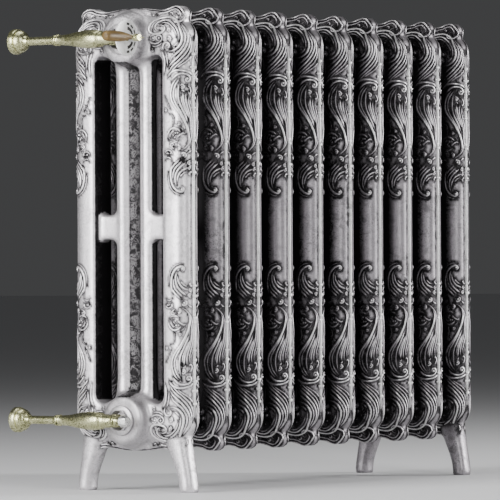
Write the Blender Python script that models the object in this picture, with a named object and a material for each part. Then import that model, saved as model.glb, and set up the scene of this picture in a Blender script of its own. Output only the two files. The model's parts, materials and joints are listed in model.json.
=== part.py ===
"""Ornate cast iron column radiator: ten cast sections screwed together on nipples,
two end bushings with angle valves, two far plugs, and two wall pipes in turned sleeves.

Lengths are in metres, +Z is up. The drawing frame has X = 0 on the middle plane of the
first section, +X along the row of sections, +Y towards the wall and Z = 0 on the floor.
An empty moves that frame so that the origin is the middle of the whole object's base.
"""
import math

import bmesh
import bpy
from mathutils import Matrix, Vector

# ---- driving dimensions -------------------------------------------------------------
SECTION_COUNT = 10
PITCH = 0.0865                 # from one section to the next
HEIGHT = 0.760                 # floor to the top of the scrolls
BELLY_Z = 0.0615               # lowest point of a section without feet
HALF_DEPTH = 0.112
MIDDLE_Z = (HEIGHT + BELLY_Z) / 2           # the casting is the same above and below this
GAP = 0.0003                   # clearance left between two pieces that touch

HUB_LOW_Z = 0.112
HUB_HIGH_Z = 0.7085
HUB_HALF = 0.04275             # half of a section's width across its hubs
HUB_R = 0.042
NIPPLE_R = 0.0190
BORE_R = NIPPLE_R + GAP

COLUMN_HALF_X = 0.025
SCROLL_HALF_X = 0.010
OUTER_COLUMN_Y = 0.066         # inner edge of the front and back columns
RIB_Y = 0.0235                 # middle of each tube of the double inner column
RIB_R = 0.0122
WEB_HALF_X = 0.0025            # the thin web that joins the two tubes
WINDOW_TOP_Z = 0.684
WINDOW_LOW_Z = 0.139
TIE_TOP_Z = 0.4346
TIE_LOW_Z = 0.395
TIE_HALF_X = 0.0105

FOOT_OUT_Y = 0.1130
FOOT_IN_Y = 0.0885
FOOT_HALF_X = 0.016

VALVE_X = -0.075               # both valve spindles and both wall pipes lie on this X
WALL_Y = 0.184
PIPE_R = 0.0065
LEVER_Y = -0.057
LEVER_REACH = 0.0825
DIAL_Y = -0.0371
DIAL_R = 0.0288

END_HUB_X = (SECTION_COUNT - 1) * PITCH + HUB_HALF
PLUG_HEX_OUT = 0.0120          # hub face to the outer end of a plug's hexagon
BLEED_OUT = 0.0190             # hub face to the end of the bleed screw

LEFT_X = VALVE_X - LEVER_REACH
RIGHT_X = END_HUB_X + BLEED_OUT
ORIGIN = Vector(((LEFT_X + RIGHT_X) / 2, (WALL_Y - FOOT_OUT_Y) / 2, 0.0))

ALONG_X = Matrix.Rotation(math.radians(90), 4, "Y")      # turns local +Z to +X
ALONG_Y = Matrix.Rotation(math.radians(-90), 4, "X")     # turns local +Z to +Y


# ---- scene and materials ------------------------------------------------------------
def clear_scene():
    for item in list(bpy.data.objects):
        bpy.data.objects.remove(item, do_unlink=True)


def material(name, colour, roughness, metallic):
    made = bpy.data.materials.new(name)
    made.use_nodes = True
    shader = made.node_tree.nodes["Principled BSDF"]
    shader.inputs["Base Color"].default_value = (*colour, 1.0)
    shader.inputs["Roughness"].default_value = roughness
    shader.inputs["Metallic"].default_value = metallic
    return made


# ---- mesh helpers -------------------------------------------------------------------
def mesh_from(bm, name):
    bmesh.ops.recalc_face_normals(bm, faces=bm.faces)
    mesh = bpy.data.meshes.new(name)
    bm.to_mesh(mesh)
    bm.free()
    mesh.shade_smooth()
    mesh.set_sharp_from_angle(angle=math.radians(35))
    return mesh


def turned(name, profile, sides=12, hexagons=()):
    """Spin (distance along the axis, radius) points round local Z.

    A profile that starts and ends on the axis makes a solid, any other is closed into a
    tube. Each (from, to, across flats) in hexagons gives that stretch six flat sides."""
    bm = bmesh.new()
    points = [bm.verts.new((radius, 0.0, along)) for along, radius in profile]
    edges = [bm.edges.new(pair) for pair in zip(points, points[1:])]
    if profile[0][1] > 0:
        edges.append(bm.edges.new((points[-1], points[0])))
    bmesh.ops.spin(bm, geom=points + edges, cent=(0, 0, 0), axis=(0, 0, 1),
                   angle=math.tau, steps=sides, use_merge=True)
    bmesh.ops.remove_doubles(bm, verts=bm.verts, dist=1e-6)
    for low, high, across in hexagons:
        shape_hexagon(bm, low, high, across)
    return mesh_from(bm, name)


def shape_hexagon(bm, low, high, across):
    """Move the outer rings between two heights from a circle on to a hexagon."""
    sixth = math.radians(60)
    for vert in bm.verts:
        radius = math.hypot(vert.co.x, vert.co.y)
        if low - 1e-6 <= vert.co.z <= high + 1e-6 and radius > across * 0.45:
            angle = math.atan2(vert.co.y, vert.co.x)
            off_flat = (angle + sixth / 2) % sixth - sixth / 2
            reach = across / 2 / math.cos(off_flat)
            vert.co.x, vert.co.y = reach * math.cos(angle), reach * math.sin(angle)


def plate(name, outline, half, holes=(), edge=0.0):
    """Extrude a (Y, Z) outline with holes to both sides of X = 0, and bevel its rims."""
    bm = bmesh.new()
    rims = []
    for loop in (outline, *holes):
        points = [bm.verts.new((-half, y, z)) for y, z in loop]
        rims += [bm.edges.new((a, b)) for a, b in zip(points, points[1:] + points[:1])]
    filled = bmesh.ops.triangle_fill(bm, use_beauty=True, edges=rims)
    faces = [item for item in filled["geom"] if isinstance(item, bmesh.types.BMFace)]
    grown = bmesh.ops.extrude_face_region(bm, geom=faces, use_keep_orig=True)
    moved = [item for item in grown["geom"] if isinstance(item, bmesh.types.BMVert)]
    bmesh.ops.translate(bm, verts=moved, vec=(2 * half, 0, 0))
    bmesh.ops.recalc_face_normals(bm, faces=bm.faces)
    if edge:
        corner = [e for e in bm.edges
                  if e.calc_face_angle(0.0) > 1.0 and abs(e.verts[0].co.x - e.verts[1].co.x) < 1e-6]
        bmesh.ops.bevel(bm, geom=corner, offset=edge, offset_type="OFFSET", segments=1,
                        profile=0.5, affect="EDGES", clamp_overlap=True, material=-1)
    return mesh_from(bm, name)


def box(name, low, high):
    bm = bmesh.new()
    bmesh.ops.create_cube(bm, size=1.0)
    size = Vector(high) - Vector(low)
    bmesh.ops.scale(bm, verts=bm.verts, vec=size)
    bmesh.ops.translate(bm, verts=bm.verts, vec=(Vector(low) + Vector(high)) / 2)
    return mesh_from(bm, name)


def placed(mesh, matrix):
    mesh.transform(matrix)
    return mesh


def combined(name, adds, cuts):
    """Join solids into one body, then cut the others out of it."""
    objects = []
    groups = {}
    for label, meshes in (("adds", adds[1:]), ("cuts", cuts)):
        groups[label] = bpy.data.collections.new(f"{name}_{label}")
        for mesh in meshes:
            tool = bpy.data.objects.new(mesh.name, mesh)
            groups[label].objects.link(tool)
            objects.append(tool)
    body = bpy.data.objects.new(name, adds[0])
    bpy.context.scene.collection.objects.link(body)
    objects.append(body)
    for label, operation in (("adds", "UNION"), ("cuts", "DIFFERENCE")):
        if groups[label].objects:
            bpy.context.scene.collection.children.link(groups[label])
            joint = body.modifiers.new(label, "BOOLEAN")
            joint.operation = operation
            joint.operand_type = "COLLECTION"
            joint.collection = groups[label]
            joint.solver = "EXACT"
    bpy.context.view_layer.update()
    graph = bpy.context.evaluated_depsgraph_get()
    mesh = bpy.data.meshes.new_from_object(body.evaluated_get(graph))
    for tool in objects:
        bpy.data.objects.remove(tool, do_unlink=True)
    bm = bmesh.new()
    bm.from_mesh(mesh)
    bmesh.ops.remove_doubles(bm, verts=bm.verts, dist=2e-5)
    bmesh.ops.dissolve_degenerate(bm, edges=bm.edges, dist=1e-5)
    bmesh.ops.dissolve_limit(bm, angle_limit=math.radians(1.5), use_dissolve_boundaries=False,
                             verts=bm.verts, edges=bm.edges)
    bmesh.ops.triangulate(bm, faces=bm.faces)
    return mesh_from(bm, name)


# ---- one section --------------------------------------------------------------------
def frame_outline():
    """The four columns' outer edge, with rounded shoulders, as (Y, Z) points."""
    top = HEIGHT - 0.030
    rise = top - MIDDLE_Z
    corner = [(HALF_DEPTH, rise - 0.034), (0.108, rise - 0.014), (0.097, rise)]
    quarter = corner + [(0.0, rise)]
    return mirrored_outline(quarter)


def mirrored_outline(quarter):
    """A whole outline from the part with Y >= 0 above the middle, which ends at Y = 0."""
    side = quarter[:-1]
    upper = side + [quarter[-1]] + [(-y, z) for y, z in reversed(side)]
    lower = [(y, -z) for y, z in reversed(upper)]
    return [(y, z + MIDDLE_Z) for y, z in upper + lower]


def opening():
    """The one tall opening between the outer columns, with cut corners."""
    rise = WINDOW_TOP_Z - MIDDLE_Z
    cut_in, cut_up = 0.009, 0.014
    return mirrored_outline([(OUTER_COLUMN_Y, rise - cut_up), (OUTER_COLUMN_Y - cut_in, rise), (0.0, rise)])


def scroll_plate(name, up):
    """The thin crest with a volute at each end; up is +1 above and -1 below."""
    half_height = HEIGHT - MIDDLE_Z
    root = half_height - 0.045
    half = [(0.094, root), (0.0975, half_height - 0.027), (0.1015, half_height - 0.016),
            (0.0965, half_height - 0.005), (0.086, half_height), (0.074, half_height - 0.002),
            (0.050, half_height - 0.0095), (0.022, half_height - 0.0035)]
    crest = half + [(0.0, half_height - 0.002)] + [(-y, z) for y, z in reversed(half)]
    return plate(name, [(y, MIDDLE_Z + up * z) for y, z in crest], SCROLL_HALF_X)


def hub(name, height):
    rounded = [(-HUB_HALF, 0.0), (-HUB_HALF, 0.036), (-0.036, HUB_R),
               (0.036, HUB_R), (HUB_HALF, 0.036), (HUB_HALF, 0.0)]
    return placed(turned(name, rounded, sides=12), Matrix.Translation((0, 0, height)) @ ALONG_X)


def leg(name, side):
    """A cast leg that spreads from the bottom of the casting to the floor."""
    outline = [(0.060, 0.105), (0.098, 0.105), (0.1015, 0.080), (0.1085, 0.045),
               (FOOT_OUT_Y, 0.020), (FOOT_OUT_Y, 0.0), (FOOT_IN_Y, 0.0), (0.0865, 0.020),
               (0.0760, 0.042), (0.0620, 0.064), (0.048, 0.078)]
    return plate(name, [(side * y, z) for y, z in outline], FOOT_HALF_X)


def rib(name, side):
    """One tube of the double inner column, flaring into the header at each end."""
    buried, flare_end, wide = 0.118, 0.172, 0.0200
    half = [(buried, 0.0), (buried, wide), (0.142, 0.0165), (flare_end, RIB_R)]
    profile = half + [(2 * MIDDLE_Z - z, radius) for z, radius in reversed(half)]
    return placed(turned(name, profile, sides=10), Matrix.Translation((0, side * RIB_Y, 0)))


def tie(name, side):
    """The short bar at mid height from a rib to its outer column, with cut corners."""
    cut, inner, outer = 0.006, RIB_Y, OUTER_COLUMN_Y + 0.006
    outline = [(inner, TIE_LOW_Z), (OUTER_COLUMN_Y - cut, TIE_LOW_Z), (outer, TIE_LOW_Z - 2 * cut),
               (outer, TIE_TOP_Z + 2 * cut), (OUTER_COLUMN_Y - cut, TIE_TOP_Z), (inner, TIE_TOP_Z)]
    return plate(name, [(side * y, z) for y, z in outline], TIE_HALF_X)


def water_channels():
    """Hub bores, a channel in each column and a header across each end."""
    column_half, header_half, rib_half = 0.017, 0.014, 0.006
    low, high = HUB_LOW_Z - 0.012, HUB_HIGH_Z + 0.012
    cuts = []
    for height in (HUB_LOW_Z, HUB_HIGH_Z):
        bore = [(-0.05, 0.0), (-0.05, BORE_R), (0.05, BORE_R), (0.05, 0.0)]
        cuts.append(placed(turned("bore", bore), Matrix.Translation((0, 0, height)) @ ALONG_X))
        cuts.append(box("header_channel", (-header_half, -0.104, height - 0.0145),
                        (header_half, 0.104, height + 0.0145)))
    for side in (-1, 1):
        outer = sorted((side * 0.073, side * 0.105))
        inner = sorted((side * (RIB_Y - rib_half), side * (RIB_Y + rib_half)))
        cuts.append(box("column_channel", (-column_half, outer[0], low), (column_half, outer[1], high)))
        cuts.append(box("rib_channel", (-rib_half, inner[0], low), (rib_half, inner[1], high)))
    return cuts


def section_mesh(name, with_feet):
    columns = plate(name, frame_outline(), COLUMN_HALF_X, holes=[opening()], edge=0.008)
    web = box("web", (-WEB_HALF_X, -RIB_Y, WINDOW_LOW_Z - 0.01), (WEB_HALF_X, RIB_Y, WINDOW_TOP_Z + 0.01))
    adds = [columns, hub("low_hub", HUB_LOW_Z), hub("high_hub", HUB_HIGH_Z),
            scroll_plate("high_scroll", 1), scroll_plate("low_scroll", -1), web]
    for side in (-1, 1):
        adds += [rib("rib", side), tie("tie", side)]
        if with_feet:
            adds.append(leg("leg", side))
    return combined(name, adds, water_channels())


# ---- placing pieces -----------------------------------------------------------------
def add_piece(name, mesh, finish, place=(0, 0, 0), turn=Matrix.Identity(4)):
    piece = bpy.data.objects.new(name, mesh)
    bpy.context.scene.collection.objects.link(piece)
    if not mesh.materials:
        mesh.materials.append(finish)
    piece.parent = frame
    piece.location = place
    piece.rotation_euler = turn.to_euler()
    return piece


def build_sections():
    middle = section_mesh("section_casting", with_feet=False)
    ended = section_mesh("end_section_casting", with_feet=True)
    for index in range(SECTION_COUNT):
        is_end = index in (0, SECTION_COUNT - 1)
        add_piece(f"section_{index + 1:02d}", ended if is_end else middle, iron,
                  (index * PITCH, 0, 0))


def build_nipples():
    half, wall = 0.016, 0.0035
    tube = turned("nipple", [(-half, NIPPLE_R), (half, NIPPLE_R),
                             (half, NIPPLE_R - wall), (-half, NIPPLE_R - wall)])
    for row, height in (("bottom", HUB_LOW_Z), ("top", HUB_HIGH_Z)):
        for index in range(SECTION_COUNT - 1):
            add_piece(f"nipple_{row}_{index + 1:02d}", tube, steel,
                      ((index + 0.5) * PITCH, 0, height), ALONG_X)


def build_bushing(name, height):
    """Flanged hexagon bushing in the first section's hub, bored for the tailpiece."""
    seat = HUB_HALF + GAP
    profile = [(-0.026, NIPPLE_R), (-0.026, 0.0083), (-0.0527, 0.0083), (-0.0527, 0.0172),
               (-0.0472, 0.0172), (-0.0470, 0.02375), (-seat, 0.02375), (-seat + 0.0002, NIPPLE_R)]
    bushing = turned(name, profile, hexagons=[(-0.0527, -0.0472, 0.032)])
    add_piece(name, bushing, iron, (0, 0, height), ALONG_X)


def build_plug(name, height, bore):
    """Flanged hexagon plug in the last section's hub; bore is zero or the bleed screw's."""
    seat = GAP
    flange = 0.0042
    profile = [(-0.016, NIPPLE_R), (seat - 0.0002, NIPPLE_R), (seat, 0.02375), (flange, 0.02375),
               (flange + 0.0002, 0.0172), (PLUG_HEX_OUT, 0.0172)]
    if bore:
        profile += [(PLUG_HEX_OUT, bore), (-0.016, bore)]
    else:
        profile = [(-0.016, 0.0)] + profile + [(PLUG_HEX_OUT, 0.0)]
    plug = turned(name, profile, hexagons=[(flange + 0.0002, PLUG_HEX_OUT, 0.032)])
    add_piece(name, plug, iron, (END_HUB_X, 0, height), ALONG_X)


def build_bleed_screw():
    head = PLUG_HEX_OUT + GAP
    profile = [(-0.012, 0.0), (-0.012, 0.0029), (head, 0.0029), (head + 0.0002, 0.0048),
               (BLEED_OUT, 0.0048), (BLEED_OUT, 0.0)]
    screw = turned("bleed_screw", profile, hexagons=[(head + 0.0002, BLEED_OUT, 0.009)])
    add_piece("bleed_screw", screw, brass, (END_HUB_X, 0, HUB_HIGH_Z), ALONG_X)


# ---- one valve, its pipe and its wall trim --------------------------------------------
def build_wall_trim(row, height):
    """Pipe, turned sleeve and wall rosette, all on one line along Y."""
    pipe = turned(f"pipe_{row}", [(0.0038, PIPE_R), (WALL_Y, PIPE_R),
                                  (WALL_Y, 0.0045), (0.0038, 0.0045)])
    add_piece(f"pipe_{row}", pipe, brass, (VALVE_X, 0, height), ALONG_Y)
    bore = PIPE_R + GAP
    sleeve = turned(f"sleeve_{row}", [
        (0.0142, 0.0128), (0.024, 0.0141), (0.034, 0.0145), (0.046, 0.0138), (0.060, 0.0118),
        (0.078, 0.0084), (0.094, 0.0078), (0.0955, 0.0086), (0.1035, 0.0086), (0.105, 0.0078),
        (0.105, bore), (0.0142, bore)])
    add_piece(f"sleeve_{row}", sleeve, brass, (VALVE_X, 0, height), ALONG_Y)
    rosette = turned(f"rosette_{row}", [
        (0.155, 0.0073), (0.160, 0.0090), (0.1612, 0.0116), (0.165, 0.0152), (0.1705, 0.0176),
        (0.1735, 0.0180), (0.1765, 0.0198), (WALL_Y, 0.0200), (WALL_Y, bore), (0.155, bore)])
    add_piece(f"rosette_{row}", rosette, brass, (VALVE_X, 0, height), ALONG_Y)


def build_valve_body(row, height):
    """Angle body: the pipe enters from +Y, the outlet leaves along +X."""
    outer = turned("body", [(-0.0080, 0.0), (-0.0080, 0.0096), (-0.0020, 0.0103), (0.0112, 0.0108),
                            (0.0120, 0.0123), (0.0138, 0.0125), (0.0138, 0.0)])
    outlet = turned("outlet", [(0.002, 0.0), (0.002, 0.0063), (0.0160, 0.0063), (0.0160, 0.0)])
    inlet_bore = turned("inlet", [(0.0035, 0.0), (0.0035, PIPE_R + GAP), (0.03, PIPE_R + GAP), (0.03, 0.0)])
    seat_bore = turned("seat", [(-0.03, 0.0), (-0.03, 0.0045), (0.01, 0.0045), (0.01, 0.0)])
    outlet_bore = turned("port", [(0.0, 0.0), (0.0, 0.0036), (0.03, 0.0036), (0.03, 0.0)])
    for mesh in (outer, inlet_bore, seat_bore):
        placed(mesh, ALONG_Y)
    for mesh in (outlet, outlet_bore):
        placed(mesh, ALONG_X)
    name = f"valve_body_{row}"
    body = combined(name, [outer, outlet], [inlet_bore, seat_bore, outlet_bore])
    add_piece(name, body, brass, (VALVE_X, 0, height))


def build_union(row, height):
    """Tailpiece screwed into the bushing, and the nut that draws it to the valve."""
    joint = VALVE_X + 0.0163
    tail = turned(f"tailpiece_{row}", [
        (joint, 0.0063), (joint + 0.0018, 0.0063), (joint + 0.0020, 0.0048), (-0.0532, 0.0048),
        (-0.0530, 0.0080), (-0.030, 0.0080), (-0.030, 0.0036), (joint, 0.0036)])
    add_piece(f"tailpiece_{row}", tail, brass, (0, 0, height), ALONG_X)
    start, lip, end = VALVE_X + 0.0113, joint + 0.0023, -0.0535
    nut = turned(f"union_nut_{row}", [
        (start, 0.0105), (end, 0.0105), (end, 0.0052), (lip, 0.0052),
        (lip - 0.0001, 0.0067), (start, 0.0067)], hexagons=[(start, end, 0.020)])
    add_piece(f"union_nut_{row}", nut, brass, (0, 0, height), ALONG_X)


def build_gland(row, height, reach, neck):
    """Gland nut that closes the valve's front; neck is the dial's seat, or zero."""
    bore = 0.0033
    profile = [(-0.0083, bore), (-0.0083, 0.0085), (-0.0100, 0.0095), (-0.0125, 0.0095),
               (-0.0140, 0.0075), (-reach, 0.0075)]
    if neck:
        profile += [(-reach - 0.0001, 0.0050), (-reach - neck, 0.0050)]
        reach += neck
    profile.append((-reach, bore))
    gland = turned(f"gland_nut_{row}", profile)
    add_piece(f"gland_nut_{row}", gland, brass, (VALVE_X, 0, height), ALONG_Y)


def build_lockshield(height):
    """Hexagon spindle of the lower valve; its own axis is the joint's axis."""
    head_in, head_out = -0.0220, -0.0360
    profile = [(0.0030, 0.0), (0.0030, 0.0041), (-0.0040, 0.0041), (-0.0042, 0.0030),
               (head_in, 0.0030), (head_in - 0.0002, 0.0082), (head_out + 0.001, 0.0082),
               (head_out, 0.0072), (head_out, 0.0)]
    spindle = turned("lockshield_spindle", profile,
                     hexagons=[(head_out + 0.001, head_in - 0.0002, 0.0152)])
    add_piece("lockshield_spindle", spindle, brass, (VALVE_X, 0, height), ALONG_Y)


def build_regulator(height):
    """Dial, spindle, lever and grip of the upper valve."""
    spindle = turned("regulator_spindle", [
        (0.0030, 0.0), (0.0030, 0.0041), (-0.0040, 0.0041), (-0.0042, 0.0030),
        (-0.0622, 0.0030), (-0.0622, 0.0)])
    add_piece("regulator_spindle", spindle, brass, (VALVE_X, 0, height), ALONG_Y)

    rim = ring_points(DIAL_R, 24)
    seat = ring_points(0.0050 + GAP, 10)
    slots = [arc_slot(0.0158, 0.0026, math.radians(side * 57), math.radians(36)) for side in (-1, 1)]
    disc = placed(plate("dial", rim, 0.0011, holes=[seat, *slots]), Matrix.Rotation(math.radians(-90), 4, "Z"))
    add_piece("dial", disc, enamel, (VALVE_X, DIAL_Y, height))

    boss = placed(turned("boss", [(-0.0050, 0.0034), (-0.0050, 0.0058), (0.0050, 0.0058),
                                  (0.0050, 0.0034)]), ALONG_Y)
    neck = placed(turned("neck", [(-0.036, 0.0), (-0.036, 0.0024), (-0.0156, 0.0024), (-0.0154, 0.0036),
                                  (-0.0110, 0.0024), (-0.0045, 0.0026), (-0.0045, 0.0)], sides=8), ALONG_X)
    pointer = placed(turned("pointer", [(0.0045, 0.0), (0.0045, 0.0016), (0.0195, 0.0008),
                                        (0.0195, 0.0)], sides=6), ALONG_X)
    lever = combined("regulator_lever", [boss, neck, pointer], [])
    add_piece("regulator_lever", lever, brass, (VALVE_X, LEVER_Y, height))

    tip = -LEVER_REACH
    bore, bore_end = 0.0024 + GAP, -0.0363
    grip = turned("lever_grip", [
        (tip, 0.0), (tip, 0.0050), (tip + 0.003, 0.0073), (tip + 0.012, 0.0082), (tip + 0.036, 0.0083),
        (-0.033, 0.0066), (-0.021, 0.0045), (-0.0160, 0.0034), (-0.0158, bore), (bore_end, bore), (bore_end, 0.0)])
    add_piece("lever_grip", grip, wood, (VALVE_X, LEVER_Y, height), ALONG_X)


def ring_points(radius, count):
    return [(radius * math.cos(math.tau * k / count), radius * math.sin(math.tau * k / count))
            for k in range(count)]


def arc_slot(radius, half_width, middle, half_angle, steps=4):
    """A curved slot on a circle, as points round its outline."""
    angles = [middle - half_angle + 2 * half_angle * k / steps for k in range(steps + 1)]
    outer = [((radius + half_width) * math.cos(a), (radius + half_width) * math.sin(a)) for a in angles]
    inner = [((radius - half_width) * math.cos(a), (radius - half_width) * math.sin(a)) for a in angles]
    return outer + inner[::-1]


# ---- the whole object ---------------------------------------------------------------
clear_scene()
iron = material("polished_cast_iron", (0.52, 0.50, 0.51), 0.34, 1.0)
steel = material("bare_steel", (0.45, 0.44, 0.43), 0.45, 1.0)
brass = material("aged_brass", (0.62, 0.60, 0.38), 0.30, 1.0)
enamel = material("white_enamel", (0.86, 0.85, 0.83), 0.25, 0.0)
wood = material("brown_wood", (0.42, 0.24, 0.10), 0.35, 0.0)

frame = bpy.data.objects.new("radiator_frame", None)
bpy.context.scene.collection.objects.link(frame)
frame.location = -ORIGIN

build_sections()
build_nipples()
build_plug("far_plug_bottom", HUB_LOW_Z, bore=0.0)
build_plug("far_plug_top", HUB_HIGH_Z, bore=0.0032)
build_bleed_screw()
for row, height in (("bottom", HUB_LOW_Z), ("top", HUB_HIGH_Z)):
    build_bushing(f"bushing_{row}", height)
    build_wall_trim(row, height)
    build_valve_body(row, height)
    build_union(row, height)
build_gland("bottom", HUB_LOW_Z, reach=0.0217, neck=0.0)
build_gland("top", HUB_HIGH_Z, reach=0.0355, neck=0.0033)
build_lockshield(HUB_LOW_Z)
build_regulator(HUB_HIGH_Z)
bpy.context.view_layer.update()
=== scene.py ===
import json
import math

import bmesh
import bpy
import numpy as np
from mathutils import Matrix, Vector
from mathutils.bvhtree import BVHTree
from mathutils.kdtree import KDTree


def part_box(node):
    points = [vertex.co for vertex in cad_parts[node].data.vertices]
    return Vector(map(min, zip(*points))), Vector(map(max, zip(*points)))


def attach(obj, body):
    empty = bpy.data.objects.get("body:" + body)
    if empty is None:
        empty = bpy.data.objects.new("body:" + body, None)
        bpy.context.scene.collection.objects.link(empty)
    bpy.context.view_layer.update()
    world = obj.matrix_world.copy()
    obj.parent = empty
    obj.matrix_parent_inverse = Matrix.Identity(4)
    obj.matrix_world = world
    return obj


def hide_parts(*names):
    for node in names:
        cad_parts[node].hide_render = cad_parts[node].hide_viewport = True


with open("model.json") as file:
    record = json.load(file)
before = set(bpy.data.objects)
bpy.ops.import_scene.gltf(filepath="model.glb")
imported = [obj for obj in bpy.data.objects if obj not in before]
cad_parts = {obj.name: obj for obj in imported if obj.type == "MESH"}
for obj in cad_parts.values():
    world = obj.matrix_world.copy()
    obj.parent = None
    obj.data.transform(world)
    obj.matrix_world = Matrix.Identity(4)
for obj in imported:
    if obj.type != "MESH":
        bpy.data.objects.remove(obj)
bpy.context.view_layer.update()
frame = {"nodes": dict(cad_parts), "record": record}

# An ornate cast iron column radiator. Lengths are in metres unless a name ends in _mm.
# A section is modelled about its own middle: x across its thickness, y towards the wall,
# z up from the floor. The ornament is drawn once, for one eighth of a section, and mirrored.

MM = 0.001


def middle(node):
    low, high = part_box(node)
    return (Vector(low) + Vector(high)) / 2


# ---- places, from the frame ----
SECTIONS = sorted(name for name in frame["nodes"] if name.startswith("section_"))
NEAR = Vector((middle(SECTIONS[0]).x, middle(SECTIONS[0]).y, 0.0))
PITCH = middle(SECTIONS[1]).x - middle(SECTIONS[0]).x
HEIGHT = Vector(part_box(SECTIONS[1])[1]).z
BELLY = Vector(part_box(SECTIONS[1])[0]).z
CASTING_MID = (HEIGHT + BELLY) / 2
HALF_DEPTH = (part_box(SECTIONS[1])[1][1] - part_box(SECTIONS[1])[0][1]) / 2
HUB_HIGH = middle("nipple_top_01").z
HUB_LOW = middle("nipple_bottom_01").z
HUB_HALF = (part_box(SECTIONS[1])[1][0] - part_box(SECTIONS[1])[0][0]) / 2
VALVE_X = middle("rosette_top").x

# ---- measures of one section ----
COLUMN_HALF = 0.0245                # half the thickness of the columns
COLUMN_IN_Y = 0.066                 # where the outer columns begin
FRONT_Y = 0.1085                    # where they end, under the polished strip
SHOULDER_Z = HEIGHT - 0.017         # where the columns end, under the crest
WINDOW_TOP = 0.684
TIE_LOW, TIE_TOP = 0.395, 0.434
RIB_Y, RIB_R = 0.0236, 0.0130
HUB_R = 0.0405
VOXEL = 0.0032                      # grain of the casting's mesh
STRIP_HALF_LENGTH = 0.293
SOFTENING_PASSES = 4


# ---- small mesh tools ----
def mesh_of(bm, name, sharp=35.0):
    mesh = bpy.data.meshes.new(name)
    bm.to_mesh(mesh)
    bm.free()
    mesh.shade_smooth()
    if sharp:
        mesh.set_sharp_from_angle(angle=math.radians(sharp))
    return mesh


def show(name, mesh, finish, body, replaced=()):
    """Put a finished mesh in the scene as a piece that rides on a body."""
    piece = bpy.data.objects.new(name, mesh)
    bpy.context.scene.collection.objects.link(piece)
    mesh.materials.clear()
    mesh.materials.append(finish)
    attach(piece, body)
    if replaced:
        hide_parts(*replaced)
    return piece


def turned(profile, sides=56):
    """Spin (along, radius) points round local Z into a closed solid or tube."""
    bm = bmesh.new()
    points = [bm.verts.new((radius, 0.0, along)) for along, radius in profile]
    edges = [bm.edges.new(pair) for pair in zip(points, points[1:])]
    if profile[0][1] > 0:
        edges.append(bm.edges.new((points[-1], points[0])))
    bmesh.ops.spin(bm, geom=points + edges, cent=(0, 0, 0), axis=(0, 0, 1),
                   angle=math.tau, steps=sides, use_merge=True)
    bmesh.ops.remove_doubles(bm, verts=bm.verts, dist=1e-6)
    bmesh.ops.recalc_face_normals(bm, faces=bm.faces)
    return bm


def rounded(bm, width):
    """Bevel every edge sharper than 30 degrees."""
    sharp = [e for e in bm.edges if e.calc_face_angle(0.0) > math.radians(30)]
    bmesh.ops.bevel(bm, geom=sharp, offset=width, offset_type="OFFSET", segments=2,
                    profile=0.5, affect="EDGES", clamp_overlap=True, material=-1)
    return bm


def plate(outline, half, rim=0.0, rim_steps=4, holes=(), hole_rim=0.0):
    """Extrude a (y, z) outline to both sides of x = 0 and round its rims."""
    bm = bmesh.new()
    edges, hole_keys = [], set()
    for number, loop in enumerate((outline, *holes)):
        points = [bm.verts.new((-half, y, z)) for y, z in loop]
        edges += [bm.edges.new(pair) for pair in zip(points, points[1:] + points[:1])]
        if number:
            hole_keys |= {(round(y, 5), round(z, 5)) for y, z in loop}
    fill = bmesh.ops.triangle_fill(bm, use_beauty=True, edges=edges)
    faces = [g for g in fill["geom"] if isinstance(g, bmesh.types.BMFace)]
    grown = bmesh.ops.extrude_face_region(bm, geom=faces, use_keep_orig=True)
    moved = [g for g in grown["geom"] if isinstance(g, bmesh.types.BMVert)]
    bmesh.ops.translate(bm, verts=moved, vec=(2 * half, 0, 0))
    bmesh.ops.recalc_face_normals(bm, faces=bm.faces)

    def rims(of_hole):
        found = []
        for e in bm.edges:
            a, b = e.verts
            flat = abs(a.co.x - b.co.x) < 1e-6 and e.calc_face_angle(0.0) > 1.2
            if flat and ((round(a.co.y, 5), round(a.co.z, 5)) in hole_keys) == of_hole:
                found.append(e)
        return found

    for of_hole, width in ((False, rim), (True, hole_rim)):
        if width:
            bmesh.ops.bevel(bm, geom=rims(of_hole), offset=width, offset_type="OFFSET",
                            segments=rim_steps, profile=0.5, affect="EDGES",
                            clamp_overlap=True, material=-1)
    return bm


def joined(parts):
    """One bmesh from several, each given as (bmesh, matrix)."""
    whole = bmesh.new()
    for bm, matrix in parts:
        bm.transform(matrix)
        if matrix.determinant() < 0:
            bmesh.ops.reverse_faces(bm, faces=bm.faces)
        scrap = bpy.data.meshes.new("scrap")
        bm.to_mesh(scrap)
        bm.free()
        whole.from_mesh(scrap)
        bpy.data.meshes.remove(scrap)
    return whole


def place(x=0.0, y=0.0, z=0.0):
    return Matrix.Translation((x, y, z))


ALONG_X = Matrix.Rotation(math.radians(90), 4, "Y")
ALONG_Y = Matrix.Rotation(math.radians(-90), 4, "X")
STAY = Matrix.Identity(4)


# ---- the casting's smooth body ----
def both_ways(quarter):
    """A whole outline from the points with y >= 0 above the casting's middle."""
    upper = quarter + [(-y, z) for y, z in reversed(quarter)]
    lower = [(y, -z) for y, z in reversed(upper)]
    return [(y, z + CASTING_MID) for y, z in upper + lower]


def arc(cy, cz, radius, start, end, steps=6):
    turns = [math.radians(start + (end - start) * k / steps) for k in range(steps + 1)]
    return [(cy + radius * math.cos(t), cz + radius * math.sin(t)) for t in turns]


def frame_plate():
    """Outer columns and the headers across both ends, round one big opening."""
    rise = SHOULDER_Z - CASTING_MID
    outline = both_ways(arc(FRONT_Y - 0.032, rise - 0.034, 0.033, 0, 88, 8) + [(0.030, rise + 0.001)])
    top = WINDOW_TOP - CASTING_MID
    corner = arc(COLUMN_IN_Y - 0.014, top - 0.014, 0.014, 0, 90, 4)
    opening = both_ways(corner + [(0.036, top - 0.006), (0.018, top - 0.016)])
    return plate(outline, COLUMN_HALF, rim=0.0205, rim_steps=5, holes=[opening], hole_rim=0.005)


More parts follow.
